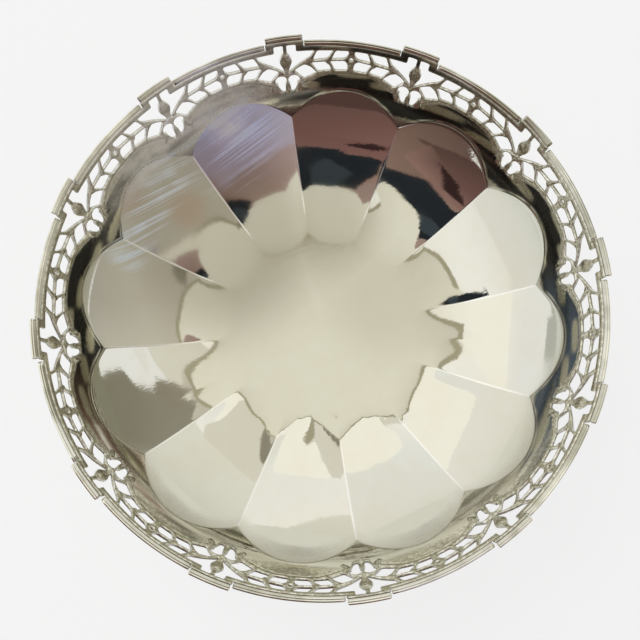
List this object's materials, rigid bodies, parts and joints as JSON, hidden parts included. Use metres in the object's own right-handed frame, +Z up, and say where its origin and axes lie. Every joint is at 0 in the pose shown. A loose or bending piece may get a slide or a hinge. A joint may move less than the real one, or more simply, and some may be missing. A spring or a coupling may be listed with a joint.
{
  "type": "footed compote bowl",
  "caption": "Round silver compote with fluted panels, a pierced border of buds and bows, a stepped wire rim and a low spun foot, for serving fruit or sweets.",
  "frame": {"origin": "centre of the foot's base, on the table", "axes": "+Z up along the bowl's axis; +X through the middle of a tab of the rim, with a bud of the border under it"},
  "size_m": [0.231, 0.231, 0.0842],
  "materials": {
    "bowl_silver": "polished silver with fine wiping scratches",
    "foot_silver": "polished spun silver",
    "wire_silver": "polished drawn silver wire"
  },
  "bodies": {
    "root": {"bowl": "bowl_silver", "foot": "foot_silver", "foot_wire": "wire_silver", "rim_wire_1": "wire_silver", "rim_wire_2": "wire_silver", "rim_wire_3": "wire_silver", "rim_wire_4": "wire_silver", "rim_wire_5": "wire_silver", "rim_wire_6": "wire_silver", "rim_wire_7": "wire_silver", "rim_wire_8": "wire_silver", "rim_wire_9": "wire_silver", "rim_wire_10": "wire_silver", "rim_wire_11": "wire_silver", "rim_wire_12": "wire_silver", "tab_wire_1": "wire_silver", "tab_wire_2": "wire_silver", "tab_wire_3": "wire_silver", "tab_wire_4": "wire_silver", "tab_wire_5": "wire_silver", "tab_wire_6": "wire_silver", "tab_wire_7": "wire_silver", "tab_wire_8": "wire_silver", "tab_wire_9": "wire_silver", "tab_wire_10": "wire_silver", "tab_wire_11": "wire_silver", "tab_wire_12": "wire_silver"}
  },
  "joints": []
}
